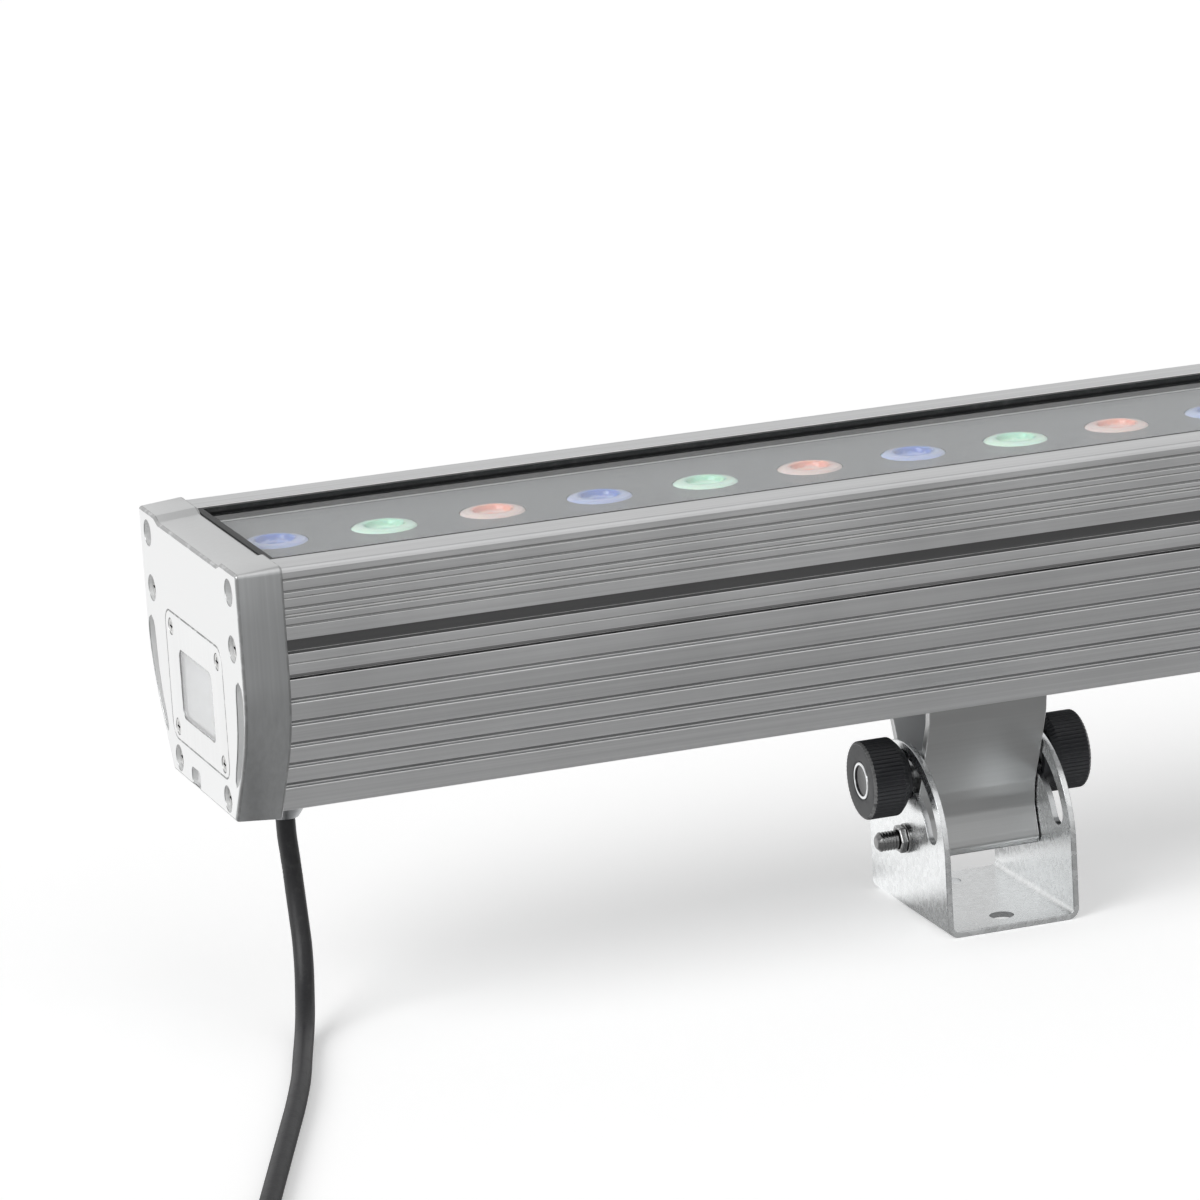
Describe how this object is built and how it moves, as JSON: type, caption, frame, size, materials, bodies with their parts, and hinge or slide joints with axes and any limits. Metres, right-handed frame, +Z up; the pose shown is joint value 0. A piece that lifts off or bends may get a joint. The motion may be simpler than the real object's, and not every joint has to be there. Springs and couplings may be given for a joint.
{
  "type": "led bar floodlight",
  "caption": "Straight LED wall-washer bar in a finned aluminium extrusion with end caps, on two tilting U-brackets with clamp knobs and a low-voltage lead.",
  "frame": {"origin": "on the floor under the middle of the bar, midway between the two brackets", "axes": "+X along the bar away from the control end, +Y to the back, +Z up, the way the light shines"},
  "size_m": [1.1622, 0.2575, 0.1223],
  "materials": {
    "extrusion": "satin anodised extrusion with fine draw lines",
    "end_cap": "satin, fine cast and brushed",
    "cover_plate": "bright satin",
    "seal_rubber": "matte silicone",
    "bright_screw": "bright zinc",
    "dark_steel": "stainless, oiled",
    "clear_pane": "clear",
    "circuit_board": "solder mask",
    "led_board": "white solder mask on aluminium",
    "display": "grey display face",
    "black_plastic": "moulded",
    "button_cap": "moulded",
    "lens_plate": "fine matte",
    "lens_blue": "clear tinted lens",
    "lens_green": "clear tinted lens",
    "lens_red": "clear tinted lens",
    "led_chip": "phosphor",
    "arm": "satin anodised",
    "zinc_sheet": "bright zinc with a fine spangle",
    "knob_plastic": "moulded, straight fine ribs",
    "chromed_insert": "polished",
    "gland_metal": "nickel plated",
    "cord_jacket": "matte jacket",
    "tie_strap": "flat strap",
    "connector_plastic": "moulded",
    "contact_pin": "gilded"
  },
  "bodies": {
    "bar": {"housing": "extrusion", "end_cap_left": "end_cap", "end_cap_right": "end_cap", "end_gasket_left": "seal_rubber", "end_gasket_right": "seal_rubber", "end_screws_left": "bright_screw", "end_screws_right": "bright_screw", "bonding_screw": "dark_steel", "control_cover": "cover_plate", "control_gasket": "seal_rubber", "control_window": "clear_pane", "cover_screws": "bright_screw", "control_board": "circuit_board", "display_module": "display", "button_switches": "black_plastic", "window_glass": "clear_pane", "window_seal": "seal_rubber", "lens_plate": "lens_plate", "lenses_blue": "lens_blue", "lenses_green": "lens_green", "lenses_red": "lens_red", "lens_holders": "black_plastic", "led_board": "led_board", "led_emitters": "led_chip", "board_screws": "bright_screw", "driver_board": "circuit_board", "driver_components": "black_plastic", "arm_left": "arm", "arm_right": "arm", "arm_screws_left": "bright_screw", "arm_screws_right": "bright_screw", "cable_gland": "gland_metal", "gland_nut": "gland_metal", "inner_lead": "cord_jacket", "power_cord": "cord_jacket", "cord_coil": "cord_jacket", "coil_tie": "tie_strap", "connector_body": "connector_plastic", "connector_ring": "connector_plastic", "connector_pins": "contact_pin"},
    "left_bracket": {"bracket_left": "zinc_sheet", "pivot_bolt_left": "dark_steel", "pivot_nuts_left": "dark_steel"},
    "right_bracket": {"bracket_right": "zinc_sheet", "pivot_bolt_right": "dark_steel", "pivot_nuts_right": "dark_steel"},
    "left_outer_knob": {"knob_left_outer": "knob_plastic", "stud_left_outer": "chromed_insert"},
    "left_inner_knob": {"knob_left_inner": "knob_plastic", "stud_left_inner": "chromed_insert"},
    "right_inner_knob": {"knob_right_inner": "knob_plastic", "stud_right_inner": "chromed_insert"},
    "right_outer_knob": {"knob_right_outer": "knob_plastic", "stud_right_outer": "chromed_insert"},
    "menu_button": {"button_menu": "button_cap"},
    "up_button": {"button_up": "button_cap"},
    "down_button": {"button_down": "button_cap"},
    "enter_button": {"button_enter": "button_cap"}
  },
  "joints": [
    {"name": "left_tilt", "type": "hinge", "parent": "bar", "child": "left_bracket", "pos_m": [-0.30525, 0, 0.02], "axis": [1, 0, 0], "range_deg": [-70, 70]},
    {"name": "right_tilt", "type": "hinge", "parent": "bar", "child": "right_bracket", "pos_m": [0.30525, 0, 0.02], "axis": [1, 0, 0], "range_deg": [-70, 70]},
    {"name": "left_outer_knob_turn", "type": "hinge", "parent": "bar", "child": "left_outer_knob", "pos_m": [-0.32295, 0, 0.0366], "axis": [-1, 0, 0], "continuous": true},
    {"name": "left_inner_knob_turn", "type": "hinge", "parent": "bar", "child": "left_inner_knob", "pos_m": [-0.28755, 0, 0.0366], "axis": [1, 0, 0], "continuous": true},
    {"name": "right_inner_knob_turn", "type": "hinge", "parent": "bar", "child": "right_inner_knob", "pos_m": [0.28755, 0, 0.0366], "axis": [-1, 0, 0], "continuous": true},
    {"name": "right_outer_knob_turn", "type": "hinge", "parent": "bar", "child": "right_outer_knob", "pos_m": [0.32295, 0, 0.0366], "axis": [1, 0, 0], "continuous": true},
    {"name": "menu_press", "type": "slide", "parent": "bar", "child": "menu_button", "axis": [1, 0, 0], "range_m": [0, 0.0003], "stiffness_N_per_m": 4000, "springref_m": -0.0001},
    {"name": "up_press", "type": "slide", "parent": "bar", "child": "up_button", "axis": [1, 0, 0], "range_m": [0, 0.0003], "stiffness_N_per_m": 4000, "springref_m": -0.0001},
    {"name": "down_press", "type": "slide", "parent": "bar", "child": "down_button", "axis": [1, 0, 0], "range_m": [0, 0.0003], "stiffness_N_per_m": 4000, "springref_m": -0.0001},
    {"name": "enter_press", "type": "slide", "parent": "bar", "child": "enter_button", "axis": [1, 0, 0], "range_m": [0, 0.0003], "stiffness_N_per_m": 4000, "springref_m": -0.0001}
  ]
}
